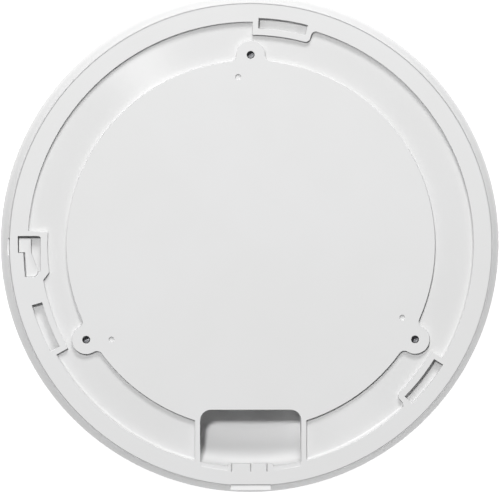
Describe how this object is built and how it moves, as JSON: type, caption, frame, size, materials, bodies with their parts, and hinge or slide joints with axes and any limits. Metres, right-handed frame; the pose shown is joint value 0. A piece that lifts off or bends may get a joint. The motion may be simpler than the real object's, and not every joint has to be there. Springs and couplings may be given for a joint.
{
  "type": "ceiling access point",
  "caption": "Round white ceiling access point: shallow dome, ring channel with bayonet slots on the back, sprung release latch and a recessed bay with network sockets.",
  "frame": {"origin": "centre of the flat face that meets the ceiling", "axes": "+Z points at the ceiling, out of the back; the dome points to -Z; the port bay opens on the -Y side and the release latch is on the -X side"},
  "size_m": [0.22, 0.22, 0.037],
  "materials": {
    "white_housing": "satin moulded plastic",
    "white_dome": "satin moulded plastic",
    "board_green": "solder mask",
    "tinned_steel": "tinned sheet",
    "socket_black": "moulded",
    "chip_black": "moulded epoxy",
    "gold_contact": "plated",
    "button_ivory": "moulded",
    "transformer_tape": "polyester tape",
    "ferrite": "sintered",
    "capacitor_sleeve": "sleeved can",
    "crystal_can": "stamped can",
    "heat_pad": "silicone pad",
    "plate_aluminium": "bare sheet",
    "antenna_metal": "stamped strip",
    "lead_jacket": "coaxial jacket",
    "coax_metal": "plated",
    "led_lens": "moulded epoxy",
    "clear_guide": "clear moulded",
    "screw_steel": "zinc plated"
  },
  "bodies": {
    "housing": {"back_housing": "white_housing", "front_cover": "white_dome", "main_board": "board_green", "jack_shells": "tinned_steel", "jack_inserts": "socket_black", "reset_switch_body": "socket_black", "network_transformers": "chip_black", "poe_transformer": "transformer_tape", "power_inductors": "ferrite", "bulk_capacitors": "capacitor_sleeve", "power_chips": "chip_black", "processor": "chip_black", "memory_chips": "chip_black", "flash_chip": "chip_black", "radio_chips": "chip_black", "clock_crystals": "crystal_can", "shield_cans": "tinned_steel", "chip_pads": "heat_pad", "spreader_pads": "heat_pad", "heat_spreader": "plate_aluminium", "antennas_2g": "antenna_metal", "antennas_5g": "antenna_metal", "antenna_cables": "lead_jacket", "coax_plugs": "coax_metal", "coax_sockets": "coax_metal", "status_led": "led_lens", "light_guide": "clear_guide", "case_screws": "screw_steel", "board_screws": "screw_steel", "spreader_screws": "screw_steel", "antenna_screws": "screw_steel"},
    "latch": {"release_latch": "white_housing"},
    "button": {"reset_button": "button_ivory"},
    "contacts_left": {"jack_contacts_left": "gold_contact"},
    "contacts_right": {"jack_contacts_right": "gold_contact"}
  },
  "joints": [
    {"name": "latch_flex", "type": "hinge", "parent": "housing", "child": "latch", "pos_m": [-0.096, -0.01175, -0.002], "axis": [0, 0, -1], "range_deg": [0, 10], "stiffness_Nm_per_rad": 0.02},
    {"name": "reset_press", "type": "slide", "parent": "housing", "child": "button", "axis": [0, 1, 0], "range_m": [0, 0.0003], "stiffness_N_per_m": 20},
    {"name": "contacts_left_flex", "type": "hinge", "parent": "housing", "child": "contacts_left", "pos_m": [-0.013, -0.0694, -0.0074], "axis": [1, 0, 0], "range_deg": [0, 12], "stiffness_Nm_per_rad": 0.002},
    {"name": "contacts_right_flex", "type": "hinge", "parent": "housing", "child": "contacts_right", "pos_m": [0.0055, -0.0694, -0.0074], "axis": [1, 0, 0], "range_deg": [0, 12], "stiffness_Nm_per_rad": 0.002}
  ]
}
